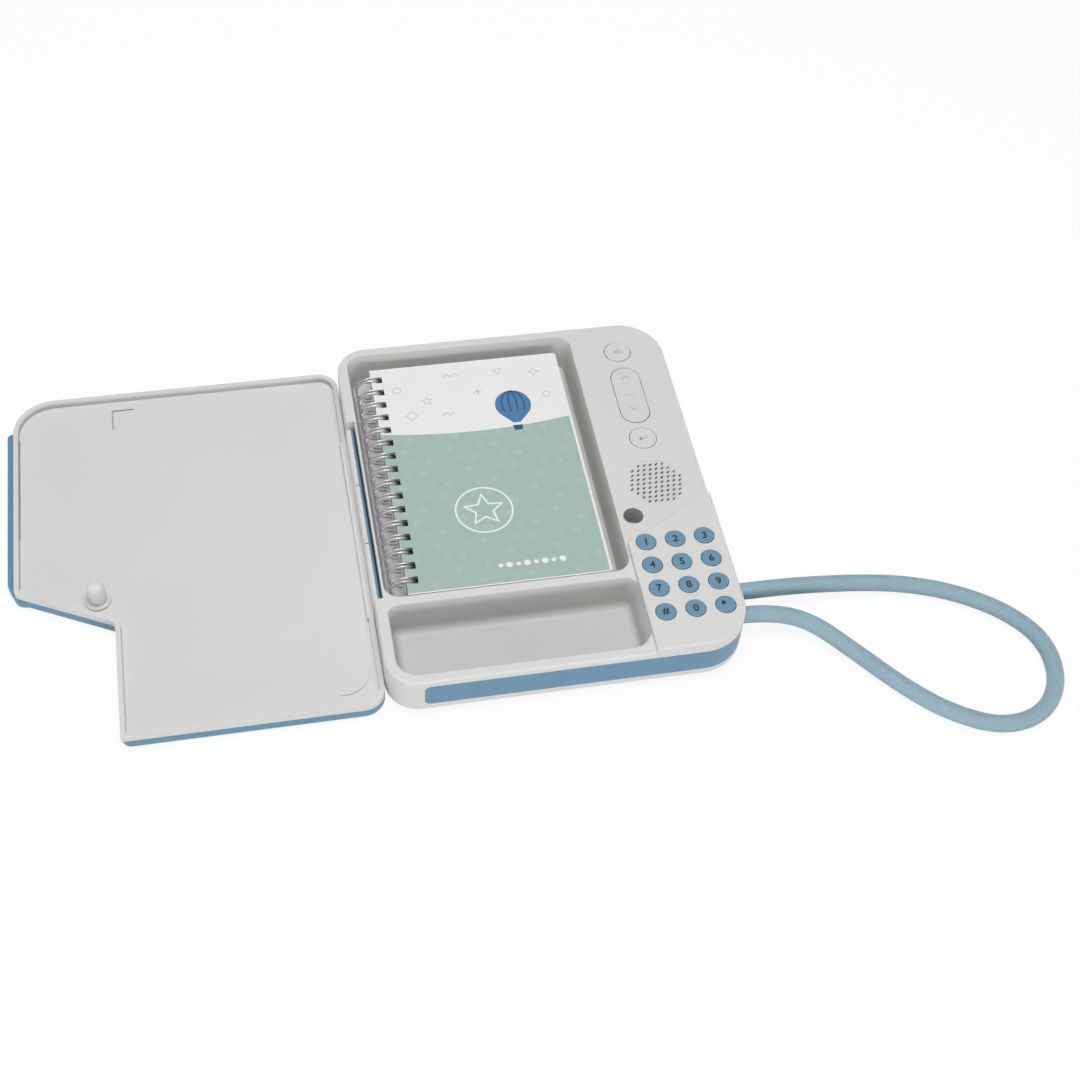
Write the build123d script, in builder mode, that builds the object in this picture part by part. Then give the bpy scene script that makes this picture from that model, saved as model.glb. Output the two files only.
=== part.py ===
from build123d import *
from math import cos, hypot, pi, radians, sin, sqrt, tan
import os

# Electronic secret diary: a case with a keypad, a notebook tray under a hinged lid and a pen tray.
# Origin: the case's front left corner on the table. +X right, +Y back, +Z up, millimetres.
# It stands as when opened flat: the lid lies on the table at the left of the case.

os.makedirs("parts", exist_ok=True)

# Case
case_width = 166.0
case_depth = 205.5
case_height = 21.4
foot_height = 2.5
wall = 2.4
deck_thickness = 2.0
floor_thickness = 1.6
left_corner = 15.0
right_corner = 22.0
keypad_step = 3.0
running = 0.3
seam = 0.2

z_under = foot_height
z_floor = z_under + floor_thickness
z_deck = z_under + case_height
z_inside = z_deck - deck_thickness
z_keypad = z_deck + keypad_step

# Side band
band_low = z_under + 4.8
band_high = z_under + 18.1
band_thickness = 1.2
band_start = 16.0
band_end = 180.0

# Trays
draft = 8.0
tray_floor = z_under + 3.2
tray_wall = 1.4
tray_left = 5.0
tray_right = 119.5
book_front = 48.0
book_back = 200.5
pen_front = 4.6
pen_back = 43.6

# Hinge
hinge_x = 1.8
hinge_z = 16.8
pin_radius = 1.1
slot_front = 48.5
slot_back = 157.0
slot_width = 4.2

# Lid, as it lies open
lid_thickness = 9.5
cover_height = 6.1
rim_width = 2.25
lid_right = 2 * hinge_x - 3.9
lid_left = -160.5
lid_front = 1.5
lid_back = 204.6
notch_x = 2 * hinge_x - 119.6
notch_y = 63.5
notch_slope = 0.511
lip_reach = 3.5

# Keys and buttons
key_x = 128.6
key_y = 60.4
key_pitch_x = 14.0
key_pitch_y = 13.5
key_radius = 4.6
key_proud = 0.4
round_radius = 6.6
button_x = 142.5
up_button_y = 185.8
rocker_y = 155.5
low_button_y = 126.5
rocker_width = 14.4
rocker_length = 37.0

# Boards and rubber under the keys
board_thickness = 1.4
sheet_thickness = 0.5
dome_height = 1.3
z_flange = z_inside - seam
z_dome = z_inside - 2.6
z_sheet = z_dome - dome_height - sheet_thickness
z_board = z_sheet - board_thickness

# Speaker
speaker_x = 142.5
speaker_y = 97.9
grille_radius = 14.0
grille_step = 2.95
grille_row = 2.8
grille_shift = 0.65
grille_slot_length = 1.9
grille_slot_width = 0.95

# Lock
lock_x = 127.0
lock_y = 79.0
lock_hole = 4.8
socket_wall = 1.0
latch_radius = 3.9
latch_height = 13.4
slider_low = 18.0
slider_high = 19.6
socket_low = 2 * hinge_z - cover_height - latch_height - 0.7 - socket_wall

# Cord
cord_radius = 4.0
cord_z = foot_height + 11.0
cord_upper_y = 35.3
cord_lower_y = 22.2

# Notebook
paper_left = 16.0
paper_right = 111.6
paper_front = 51.4
paper_back = 193.6
page_corner = 1.6
board_cover = 1.0
book_low = tray_floor + 1.2
book_thickness = 13.0
loop_count = 16
loop_pitch = 25.4 / 3
loop_first = 59.5
loop_radius = 7.35
wire_radius = 0.42
half_pair = 0.95
ring_x = 15.7
ring_z = tray_floor + loop_radius + wire_radius + 0.05
hole_gap = 0.3


def rounded_polygon(corners, radii):
    with BuildSketch(mode=Mode.PRIVATE) as shape:
        with BuildLine():
            Polyline(*corners, close=True)
        make_face()
        for corner, radius in zip(corners, radii):
            if radius > 0:
                fillet(shape.vertices().sort_by_distance((corner[0], corner[1], 0))[0], radius)
    return shape.sketch


def case_outline(inset):
    right = case_width - inset
    back = case_depth - inset
    corners = [(inset, inset), (right, inset), (right, back), (inset, back)]
    near = left_corner - inset
    far = right_corner - inset
    return rounded_polygon(corners, [near, far, far, near])


def box_outline(left, front, right, back, radii):
    return rounded_polygon([(left, front), (right, front), (right, back), (left, back)], radii)


def block(left, front, low, right, back, high):
    size = (right - left, back - front, high - low)
    corner = (Align.MIN, Align.MIN, Align.MIN)
    return Pos(left, front, low) * Box(*size, align=corner, mode=Mode.PRIVATE)


def post(x, y, radius, low, high):
    foot = (Align.CENTER, Align.CENTER, Align.MIN)
    return Pos(x, y, low) * Cylinder(radius, high - low, align=foot, mode=Mode.PRIVATE)


def plate(outline, low, high):
    return extrude(Pos(0, 0, low) * outline, amount=high - low, mode=Mode.PRIVATE)


case_outer = case_outline(0)
case_inner = case_outline(wall)
band_inner = case_outline(band_thickness)

# Keypad step: it fills the lid's notch, one gap short of the lid's edge.
step_gap = 0.7
step_left = 2 * hinge_x - notch_x + step_gap
step_y = notch_y - step_gap * sqrt(1 + notch_slope**2) + notch_slope * step_gap
step_right_y = step_y + notch_slope * (case_width + 5 - step_left)
step_outline = rounded_polygon(
    [(step_left, -5), (case_width + 5, -5), (case_width + 5, step_right_y), (step_left, step_y)],
    [0, 0, 0, 4.0],
)
step_face = case_outer & step_outline
step_inner = case_inner & offset(step_outline, amount=-1.6)

key_places = [
    (key_x + key_pitch_x * column, key_y - key_pitch_y * row)
    for row in range(4)
    for column in range(3)
]
key_names = ["1", "2", "3", "4", "5", "6", "7", "8", "9", "hash", "0", "star"]

# Screw posts: two in the divider between the trays, four in the right-hand column
screw_places = [(24, 45.8), (98, 45.8), (128, 6.4), (158, 78), (126.8, 117), (143, 199.6)]

# Battery bay
bay_left = 125.4
bay_right = 159.6
bay_front = 141.0
bay_back = 191.0
bay_wall = 1.4
bay_roof = z_board - bay_wall + 0.3
cell_radius = 5.2
cell_length = 44.5
cell_pitch = 11.4
cell_z = z_floor + cell_radius + seam
door_screw_y = 137.2
bay_middle = (bay_left + bay_right) / 2


# Blue inlay round the front and the right side
with BuildPart() as side_band:
    with BuildSketch(Plane.XY.offset(band_low)):
        add(case_outer)
        add(band_inner, mode=Mode.SUBTRACT)
        add(
            rounded_polygon(
                [
                    (band_start, -5),
                    (case_width + 5, -5),
                    (case_width + 5, band_end),
                    (case_width - 10, band_end),
                    (case_width - 30, 30),
                    (band_start, 10),
                ],
                [0] * 6,
            ),
            mode=Mode.INTERSECT,
        )
    extrude(amount=band_high - band_low)
    front_end = side_band.edges().filter_by(Axis.Y).filter_by_position(
        Axis.X, band_start - 0.01, band_start + 0.01
    )
    back_end = side_band.edges().filter_by(Axis.X).filter_by_position(
        Axis.Y, band_end - 0.01, band_end + 0.01
    )
    fillet(front_end + back_end, 3.0)
    band_solid = side_band.part
    for y in (cord_upper_y, cord_lower_y):
        with Locations(Plane((case_width, y, cord_z), z_dir=(1, 0, 0))):
            Cylinder(cord_radius + running, 10, mode=Mode.SUBTRACT)
side_band.part.label = "side_band"
export_step(side_band.part, "parts/side_band.step")


# Trays: the tub is the tray's outside, the well is what it holds
def tray_solid(outline, low, top):
    return extrude(Pos(0, 0, top) * outline, amount=-(top - low), taper=draft)


book_rim = box_outline(tray_left, book_front, tray_right, book_back, [7.5] * 4)
pen_rim = box_outline(tray_left, pen_front, tray_right + 1, pen_back, [10, 10, 5, 5])
book_tub = tray_solid(offset(book_rim, amount=tray_wall), tray_floor - tray_wall, z_deck)
pen_tub = tray_solid(offset(pen_rim, amount=tray_wall), tray_floor - tray_wall, z_deck)
book_well = tray_solid(book_rim, tray_floor, z_deck)
pen_well = tray_solid(pen_rim, tray_floor, z_deck)
pen_well = fillet(pen_well.edges().group_by(Axis.Z)[0], 4.0)
book_well = fillet(book_well.edges().group_by(Axis.Z)[0], 0.8)
mouth = 0.1
book_mouth = plate(book_rim, z_deck - mouth, z_deck + 1)
pen_mouth = plate(pen_rim, z_deck - mouth, z_deck + 1)

# The grille's slots stand in columns that lean a little to the right towards the back
grille_places = []
for column in range(-5, 6):
    for row in range(-5, 6):
        across = column * grille_step + row * grille_shift
        along = row * grille_row
        if hypot(across, along) < grille_radius - 0.9:
            grille_places.append((speaker_x + across, speaker_y + along))

# Upper half of the case, with both trays
with BuildPart() as top_case:
    with BuildSketch(Plane.XY.offset(band_low)):
        add(case_outer)
    extrude(amount=z_deck - band_low)
    fillet(top_case.edges().group_by(Axis.Z)[-1], 1.2)
    with BuildPart(mode=Mode.PRIVATE) as step:
        with BuildSketch(Plane.XY.offset(z_inside)):
            add(step_face)
        extrude(amount=z_keypad - z_inside)
        fillet(step.edges().group_by(Axis.Z)[-1], 1.0)
    add(step.part)
    add(plate(case_inner, band_low - 1, z_inside), mode=Mode.SUBTRACT)
    add(plate(step_inner, z_inside - 1, z_keypad - deck_thickness), mode=Mode.SUBTRACT)
    for x, y in key_places:
        add(post(x, y, key_radius + running + 1, z_inside, z_keypad - 1))
    # hinge slot walls in the left side
    slot_top = z_deck - 1.2
    add(block(0.9, slot_front - 4, band_low, 7, slot_back + 4, slot_top))
    add(block(2.4, slot_front - 4, slot_top - 1, 7, slot_back + 4, z_deck))
    add(book_tub)
    add(pen_tub)
    for x, y in screw_places:
        ceiling = z_keypad - deck_thickness if x > step_left and y < 85 else z_inside
        add(post(x, y, 2.9, band_low + seam, ceiling + 0.5))
    # rocker bearings
    for x in (button_x - rocker_width / 2 - 2.4, button_x + rocker_width / 2 + 0.6):
        add(block(x, rocker_y - 2, z_inside - 3.2, x + 1.8, rocker_y + 2, z_inside + 0.5))
    # wells and holes
    for well in (book_well, pen_well, book_mouth, pen_mouth):
        add(well, mode=Mode.SUBTRACT)
    add(block(-1, slot_front, band_low - 1, slot_width, slot_back, z_deck + 1), mode=Mode.SUBTRACT)
    for x, y in key_places:
        add(post(x, y, key_radius + running, z_inside - 1, z_keypad + 1), mode=Mode.SUBTRACT)
    for y in (up_button_y, low_button_y):
        add(
            post(button_x, y, round_radius + running, z_inside - 1, z_deck + 1),
            mode=Mode.SUBTRACT,
        )
    with BuildSketch(Plane.XY.offset(z_inside - 1)):
        with Locations((button_x, rocker_y)):
            SlotOverall(rocker_length + 1.0, rocker_width + 2 * running, rotation=90)
    extrude(amount=deck_thickness + 2, mode=Mode.SUBTRACT)
    # socket for the latch pin, with a slot for the lock's slider
    add(post(lock_x, lock_y, lock_hole + socket_wall, socket_low, z_inside + 0.5))
    add(post(lock_x, lock_y, lock_hole, socket_low + socket_wall, z_deck + 1), mode=Mode.SUBTRACT)
    slider_slot = block(
        lock_x - 2.2 - running,
        lock_y,
        slider_low - running,
        lock_x + 1.2 + running,
        lock_y + lock_hole + socket_wall + 1,
        slider_high + running,
    )
    add(slider_slot, mode=Mode.SUBTRACT)
    add(
        post(speaker_x, speaker_y, grille_radius, z_deck - 0.2, z_deck + 1),
        mode=Mode.SUBTRACT,
    )
    with BuildSketch(Plane.XY.offset(z_inside - 1)):
        with Locations(*grille_places):
            SlotOverall(grille_slot_length, grille_slot_width, rotation=42)
    extrude(amount=deck_thickness + 2, mode=Mode.SUBTRACT)
    for x, y in screw_places:
        add(post(x, y, 1.2, band_low - 1, band_low + 8), mode=Mode.SUBTRACT)
    with BuildSketch(Plane.XZ.offset(-(slot_front - 3))):
        with Locations((hinge_x, hinge_z)):
            Circle(pin_radius)
    extrude(amount=-(slot_back - slot_front + 6), mode=Mode.SUBTRACT)
    with BuildSketch(Plane.YZ.offset(button_x - 12)):
        with Locations((rocker_y, z_inside - 1.5)):
            Circle(1.05)
    extrude(amount=24, mode=Mode.SUBTRACT)
    add(band_solid, mode=Mode.SUBTRACT)
    for y in (cord_upper_y, cord_lower_y):
        with Locations(Plane((case_width, y, cord_z), z_dir=(1, 0, 0))):
            Cylinder(cord_radius + running, 10, mode=Mode.SUBTRACT)
top_case.part.label = "top_case"
export_step(top_case.part, "parts/top_case.step")


# Lower half of the case, with the battery bay
with BuildPart() as bottom_case:
    with BuildSketch(Plane.XY.offset(z_under)):
        add(case_outer)
    extrude(amount=band_low - z_under)
    fillet(bottom_case.edges().group_by(Axis.Z)[0], 2.2)
    add(plate(case_inner, z_floor, band_low + 1), mode=Mode.SUBTRACT)
    add(block(0.9, slot_front - 4, z_under + 0.6, 5.7, slot_back + 4, band_low))
    for x, y in screw_places:
        add(post(x, y, 2.9, z_under, band_low))
    add(
        block(
            bay_left - bay_wall,
            bay_front - bay_wall,
            z_under,
            bay_right + bay_wall,
            bay_back + bay_wall,
            bay_roof + 0.9,
        )
    )
    add(post(bay_middle, door_screw_y, 3.2, z_under, 10))
    add(block(123.4, 97, z_under, 129.4, 111, 10))
    add(block(bay_left, bay_front, z_under - 1, bay_right, bay_back, bay_roof), mode=Mode.SUBTRACT)
    add(
        block(
            bay_middle - 4, door_screw_y - 4, z_under - 1, bay_middle + 4, bay_front + 1, z_floor
        ),
        mode=Mode.SUBTRACT,
    )
    for x in (bay_left + 8, bay_right - 8):
        add(
            block(x - 3.2, bay_back - 1, z_floor, x + 3.2, bay_back + 3, z_floor + 1.4),
            mode=Mode.SUBTRACT,
        )
    add(post(bay_middle, door_screw_y, 1.0, z_floor - 1, 9), mode=Mode.SUBTRACT)
    for x, y in screw_places:
        add(post(x, y, 1.4, z_under - 1, band_low + 1), mode=Mode.SUBTRACT)
        add(post(x, y, 2.5, z_under - 1, z_under + 2.4), mode=Mode.SUBTRACT)
    add(block(-1, slot_front, 0, slot_width, slot_back, band_low + 1), mode=Mode.SUBTRACT)
bottom_case.part.label = "bottom_case"
export_step(bottom_case.part, "parts/bottom_case.step")


with BuildPart() as case_screws:
    for x, y in screw_places:
        add(post(x, y, 2.3, z_under + 0.6, z_under + 2.4))
        add(post(x, y, 1.2, z_under + 2.4, band_low + 7))
    with Locations(*[(x, y, z_under + 0.6) for x, y in screw_places]):
        Box(0.6, 3.0, 1.2, mode=Mode.SUBTRACT)
        Box(3.0, 0.6, 1.2, mode=Mode.SUBTRACT)
case_screws.part.label = "case_screws"
export_step(case_screws.part, "parts/case_screws.step")


with BuildPart() as rubber_feet:
    with BuildSketch():
        with Locations((17, 17), (case_width - 22, 22), (case_width - 20, 185), (17, 188)):
            Circle(5.5)
    extrude(amount=foot_height)
    fillet(rubber_feet.edges().group_by(Axis.Z)[0], 0.8)
rubber_feet.part.label = "rubber_feet"
export_step(rubber_feet.part, "parts/rubber_feet.step")


# Battery door with two tabs and a screw ear
with BuildPart() as battery_door:
    add(
        block(
            bay_left + seam,
            bay_front + seam,
            z_under,
            bay_right - seam,
            bay_back - seam,
            z_floor,
        )
    )
    add(
        block(
            bay_middle - 4 + seam,
            door_screw_y - 4 + seam,
            z_under,
            bay_middle + 4 - seam,
            bay_front + 1,
            z_floor,
        )
    )
    for x in (bay_left + 8, bay_right - 8):
        add(block(x - 3, bay_back - 1.2, z_floor, x + 3, bay_back + 1.2, z_floor + 1.2))
    add(post(bay_middle, door_screw_y, 1.2, z_under - 1, z_floor + 1), mode=Mode.SUBTRACT)
    with Locations(*[(bay_middle, bay_front + 6 + 1.6 * i, z_under) for i in range(5)]):
        Box(16, 0.6, 0.8, mode=Mode.SUBTRACT)
battery_door.part.label = "battery_door"
export_step(battery_door.part, "parts/battery_door.step")


with BuildPart() as door_screw:
    add(post(bay_middle, door_screw_y, 2.1, z_under - 0.9, z_under))
    add(post(bay_middle, door_screw_y, 1.0, z_under, 8.6))
    with Locations((bay_middle, door_screw_y, z_under - 0.9)):
        Box(0.6, 2.8, 1.0, mode=Mode.SUBTRACT)
        Box(2.8, 0.6, 1.0, mode=Mode.SUBTRACT)
door_screw.part.label = "door_screw"
export_step(door_screw.part, "parts/door_screw.step")


cell_places = [(bay_middle + cell_pitch * (i - 1), (-1) ** i) for i in range(3)]
bay_centre_y = (bay_front + bay_back) / 2

# Cells: every second one points to the front
with BuildPart() as batteries:
    for x, way in cell_places:
        body_centre = bay_centre_y + way * 1.25
        nub_centre = bay_centre_y + way * (1.25 + cell_length / 2 + 0.5)
        with Locations(Plane((x, body_centre, cell_z), z_dir=(0, 1, 0))):
            Cylinder(cell_radius, cell_length)
        with Locations(Plane((x, nub_centre, cell_z), z_dir=(0, 1, 0))):
            Cylinder(1.9, 1.0)
batteries.part.label = "batteries"
export_step(batteries.part, "parts/batteries.step")


with BuildPart() as battery_contacts:
    for x, way in cell_places:
        with Locations((x, bay_front + 0.25, cell_z), (x, bay_back - 0.25, cell_z)):
            Box(9, 0.5, 8)
        start = bay_centre_y - way * ((bay_back - bay_front) / 2 - 0.8)
        with BuildPart(mode=Mode.PRIVATE) as spring:
            with BuildLine() as coil:
                Helix(
                    pitch=1.1, height=2.8, radius=2.6, center=(x, start, cell_z), direction=(0, way, 0)
                )
            with BuildSketch(Plane(coil.line @ 0, z_dir=coil.line % 0)):
                Circle(0.3)
            sweep()
        add(spring.part)
battery_contacts.part.label = "battery_contacts"
export_step(battery_contacts.part, "parts/battery_contacts.step")


# Circuit boards and the rubber domes that carry the keys
board_right = case_width - wall - 3.4

with BuildPart() as keypad_board:
    add(block(122.6, 12.2, z_board, board_right, 69, z_sheet))
    with Locations(*[(x + 7, y + 6.7, z_board - 0.5) for x, y in key_places[3:8:4]]):
        Box(5, 5, 1)
keypad_board.part.label = "keypad_board"
export_step(keypad_board.part, "parts/keypad_board.step")


with BuildPart() as keypad_rubber:
    add(block(122.8, 12.4, z_sheet, board_right - seam, 66.4, z_sheet + sheet_thickness))
    for x, y in key_places:
        with Locations((x, y, z_sheet + sheet_thickness)):
            Cone(3.4, 2.0, dome_height, align=(Align.CENTER, Align.CENTER, Align.MIN))
keypad_rubber.part.label = "keypad_rubber"
export_step(keypad_rubber.part, "parts/keypad_rubber.step")


function_domes = [up_button_y, rocker_y + 12, rocker_y - 12, low_button_y]

board_outline = box_outline(124.2, 120.5, case_width - wall - 0.8, 196, [1, 1, 14, 3])

with BuildPart() as main_board:
    add(plate(board_outline, z_board, z_sheet))
    with Locations((131, 140, z_sheet + 0.6), (156, 140, z_sheet + 0.6)):
        Box(6, 9, 1.2)
main_board.part.label = "main_board"
export_step(main_board.part, "parts/main_board.step")


with BuildPart() as button_rubber:
    add(block(137.4, 121, z_sheet, 147.6, 191.2, z_sheet + sheet_thickness))
    for y in function_domes:
        with Locations((button_x, y, z_sheet + sheet_thickness)):
            Cone(3.4, 2.0, dome_height, align=(Align.CENTER, Align.CENTER, Align.MIN))
button_rubber.part.label = "button_rubber"
export_step(button_rubber.part, "parts/button_rubber.step")


# Keys: cap, flange under the deck and a stem on the rubber dome
def push_button(x, y, radius, top):
    add(post(x, y, radius, z_flange - 1, top))
    fillet(edges().group_by(Axis.Z)[-1], 0.35)
    add(post(x, y, radius + 0.9, z_flange - 1, z_flange))
    add(post(x, y, 2.0, z_dome + 0.05, z_flange - 1))


for (x, y), name in zip(key_places, key_names):
    with BuildPart() as key:
        push_button(x, y, key_radius, z_keypad + key_proud)
    key.part.label = "key_" + name
    export_step(key.part, "parts/key_" + name + ".step")


with BuildPart() as button_up:
    push_button(button_x, up_button_y, round_radius, z_deck + key_proud)
button_up.part.label = "button_up"
export_step(button_up.part, "parts/button_up.step")


with BuildPart() as button_low:
    push_button(button_x, low_button_y, round_radius, z_deck + key_proud)
button_low.part.label = "button_low"
export_step(button_low.part, "parts/button_low.step")


# Rocker: a pill that tips about a cross axle
with BuildPart() as rocker:
    with BuildSketch(Plane.XY.offset(z_inside + 0.2)):
        with Locations((button_x, rocker_y)):
            SlotOverall(rocker_length, rocker_width, rotation=90)
    extrude(amount=deck_thickness - 0.2 + key_proud)
    fillet(rocker.edges().group_by(Axis.Z)[-1], 0.35)
    rib_low = z_inside - 2.6
    add(block(button_x - 5, rocker_y - 1.4, rib_low, button_x + 5, rocker_y + 1.4, z_inside + 0.4))
    for y in (rocker_y - 12, rocker_y + 12):
        add(post(button_x, y, 2.0, z_dome + 0.05, z_inside + 0.4))
    with Locations(Plane((button_x, rocker_y, z_inside - 1.5), z_dir=(1, 0, 0))):
        Cylinder(1.0, rocker_width + 4.4)
rocker.part.label = "volume_rocker"
export_step(rocker.part, "parts/volume_rocker.step")


# Speaker
with BuildPart() as speaker_frame:
    with BuildSketch(Plane.XZ):
        with BuildLine():
            Polyline(
                (0, 12.6),
                (8, 12.6),
                (8, 16.9),
                (12, 19.9),
                (13.5, 19.9),
                (13.5, z_inside),
                (11.6, z_inside),
                (11.6, 20.6),
                (7.4, 17.6),
                (0, 17.6),
                close=True,
            )
        make_face()
    revolve(axis=Axis.Z)
speaker_frame.part.position = (speaker_x, speaker_y, 0)
speaker_frame.part.label = "speaker_frame"
export_step(speaker_frame.part, "parts/speaker_frame.step")


with BuildPart() as speaker_cone:
    with BuildSketch(Plane.XZ):
        with BuildLine():
            Polyline(
                (0, 18.9),
                (4, 18.2),
                (11.0, 21.0),
                (11.6, 21.0),
                (11.6, z_inside - 0.5),
                (10.8, z_inside - 0.5),
                (4, 18.7),
                (0, 19.4),
                close=True,
            )
        make_face()
    revolve(axis=Axis.Z)
speaker_cone.part.position = (speaker_x, speaker_y, 0)
speaker_cone.part.label = "speaker_cone"
export_step(speaker_cone.part, "parts/speaker_cone.step")


# Lock: a spring pushes the slider into the latch pin's notch, a coil draws it back
coil_x = 126.4
coil_z = 13.8
coil_front = 95.2
slider_nose = lock_y + lock_hole + 0.4
leg_back = 91.5

with BuildPart() as lock_slider:
    add(block(lock_x - 2.2, slider_nose, slider_low, lock_x + 1.2, leg_back, slider_high))
    add(block(coil_x - 1.6, leg_back - 2, coil_z - 3.2, coil_x + 1.6, leg_back, slider_high))
    with Locations(Plane((coil_x, leg_back + 5, coil_z), z_dir=(0, 1, 0))):
        Cylinder(1.5, 10.4)
lock_slider.part.label = "lock_slider"
export_step(lock_slider.part, "parts/lock_slider.step")


with BuildPart() as lock_coil:
    add(block(coil_x - 3.8, coil_front, coil_z - 3.8, coil_x + 3.8, 113, coil_z + 3.8))
    with Locations(Plane((coil_x, coil_front + 5, coil_z), z_dir=(0, 1, 0))):
        Cylinder(1.55, 10.2, mode=Mode.SUBTRACT)
lock_coil.part.label = "lock_coil"
export_step(lock_coil.part, "parts/lock_coil.step")


with BuildPart() as lock_spring:
    with BuildLine() as coil:
        Helix(
            pitch=0.8,
            height=coil_front - leg_back - 0.5,
            radius=2.2,
            center=(coil_x, leg_back + 0.25, coil_z),
            direction=(0, 1, 0),
        )
    with BuildSketch(Plane(coil.line @ 0, z_dir=coil.line % 0)):
        Circle(0.22)
    sweep()
lock_spring.part.label = "lock_spring"
export_step(lock_spring.part, "parts/lock_spring.step")


# Lid outlines, as it lies open
notch_end_y = notch_y + notch_slope * (notch_x - lid_left)
lid_corners = [
    (lid_right, lid_front),
    (lid_right, lid_back),
    (lid_left, lid_back),
    (lid_left, notch_end_y),
    (notch_x, notch_y),
    (notch_x, lid_front),
]
lid_outline = rounded_polygon(lid_corners, [10, 10, 20, 3, 4, 0.6])
cover_outline = rounded_polygon(lid_corners, [10, 10, 20, 3, 4, 4])
lip_outline = rounded_polygon(
    [
        (lid_left + 5, 188.5),
        (lid_left - lip_reach, 188.5),
        (lid_left - lip_reach, notch_end_y + 8),
        (lid_left + 0.6, notch_end_y - 1.2),
        (lid_left + 5, notch_end_y - 5 * notch_slope),
    ],
    [0, 2.5, 9, 4, 0],
)
cover_hollow = offset(cover_outline, amount=-2.0)
cover_seat = offset(cover_outline, amount=-1.0)
panel_outline = offset(cover_outline, amount=-1.05)
rim_inner = offset(lid_outline, amount=-rim_width)
crescent = Pos(-17.3, 22.6) * Circle(11.9) - Pos(-18.3, 23.6) * Circle(12.65)
arm_front = slot_front + 0.4
arm_back = slot_back - 0.4
arm_split = hinge_x + 0.2
arm_round = 1.4
arm_left_round = 1.8
arm_right = hinge_x + 1.7
arm_top = hinge_z + 1.9

# Blue outer cover of the lid
with BuildPart() as lid_cover:
    with BuildSketch():
        add(cover_outline)
    extrude(amount=cover_height)
    fillet(lid_cover.edges().group_by(Axis.Z)[0], 2.2)
    with BuildPart(mode=Mode.PRIVATE) as lip:
        with BuildSketch():
            add(lip_outline)
        extrude(amount=5.5)
        outer = lip.faces().filter_by(Plane.XY).sort_by(Axis.Z)
        fillet(outer[0].edges().filter_by_position(Axis.X, lid_left - 5, lid_left - 2), 1.4)
        fillet(
            lip.faces().sort_by(Axis.Z)[-1].edges().filter_by_position(
                Axis.X, lid_left - 5, lid_left - 2
            ),
            0.8,
        )
    add(lip.part)
    add(block(lid_right - 4, arm_front, 0, arm_right, arm_back, cover_height))
    add(block(arm_split, arm_front, 0, arm_right, arm_back, arm_top))
    arm_edges = lid_cover.edges().filter_by(Axis.Y).filter_by_position(
        Axis.X, arm_right - 0.01, arm_right + 0.01
    )
    fillet(arm_edges, arm_round)
    add(plate(cover_hollow, 1.8, cover_height + 1), mode=Mode.SUBTRACT)
    add(plate(cover_seat, 4.5, cover_height + 1), mode=Mode.SUBTRACT)
    for x in (-20, -75, -130):
        for y in (98, 188):
            add(post(x, y, 3.0, 1.0, 4.5))
            add(post(x, y, 1.2, 2.5, 5), mode=Mode.SUBTRACT)
    for x in (-20, -98):
        add(post(x, 20, 3.0, 1.0, 4.5))
        add(post(x, 20, 1.2, 2.5, 5), mode=Mode.SUBTRACT)
    with Locations(Plane((hinge_x, case_depth / 2, hinge_z), z_dir=(0, 1, 0))):
        Cylinder(pin_radius + 0.05, case_depth, mode=Mode.SUBTRACT)
lid_cover.part.label = "lid_cover"
export_step(lid_cover.part, "parts/lid_cover.step")


# Grey inside of the lid: panel, rim and the inner half of the hinge arm
with BuildPart() as lid_frame:
    with BuildSketch(Plane.XY.offset(4.5)):
        add(panel_outline)
    extrude(amount=cover_height - 4.5)
    with BuildSketch(Plane.XY.offset(cover_height)):
        add(lid_outline)
        add(rim_inner, mode=Mode.SUBTRACT)
    extrude(amount=lid_thickness - cover_height)
    add(block(lid_right - 3, arm_front, cover_height, arm_split, arm_back, lid_thickness))
    add(block(lid_right, arm_front, cover_height, arm_split, arm_back, arm_top))
    arm_edges = lid_frame.edges().filter_by(Axis.Y).filter_by_position(
        Axis.X, lid_right - 0.01, lid_right + 0.01
    ).filter_by_position(Axis.Z, arm_top - 0.01, arm_top + 0.01)
    fillet(arm_edges, arm_left_round)
    for x in (-20, -75, -130):
        for y in (98, 188):
            add(post(x, y, 1.2, 2.7, 5))
    for x in (-20, -98):
        add(post(x, 20, 1.2, 2.7, 5))
    for y in (arm_front + 36, arm_back - 36):
        groove = block(lid_right - 1, y - 0.3, arm_top - 1.2, arm_split, y + 0.3, arm_top + 1)
        add(groove, mode=Mode.SUBTRACT)
    # moulded marks in the panel: a corner, a line along the free edge's rim and a crescent
    mark_low = cover_height - 0.6
    mark_high = cover_height + 0.1
    groove_x = lid_left + rim_width
    for mark in (
        block(-113.2, 184, mark_low, -112.5, 196.8, mark_high),
        block(-113.2, 195.9, mark_low, -102.5, 196.8, mark_high),
        block(groove_x, notch_end_y + 5, mark_low, groove_x + 0.5, lid_back - 22, mark_high),
        plate(crescent, mark_low, mark_high),
    ):
        add(mark, mode=Mode.SUBTRACT)
    with Locations(Plane((hinge_x, case_depth / 2, hinge_z), z_dir=(0, 1, 0))):
        Cylinder(pin_radius + 0.05, case_depth, mode=Mode.SUBTRACT)
lid_frame.part.label = "lid_frame"
export_step(lid_frame.part, "parts/lid_frame.step")


# Latch pin with a notch at the back for the lock's slider
latch_x = 2 * hinge_x - lock_x
shut_z = 2 * hinge_z

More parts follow.
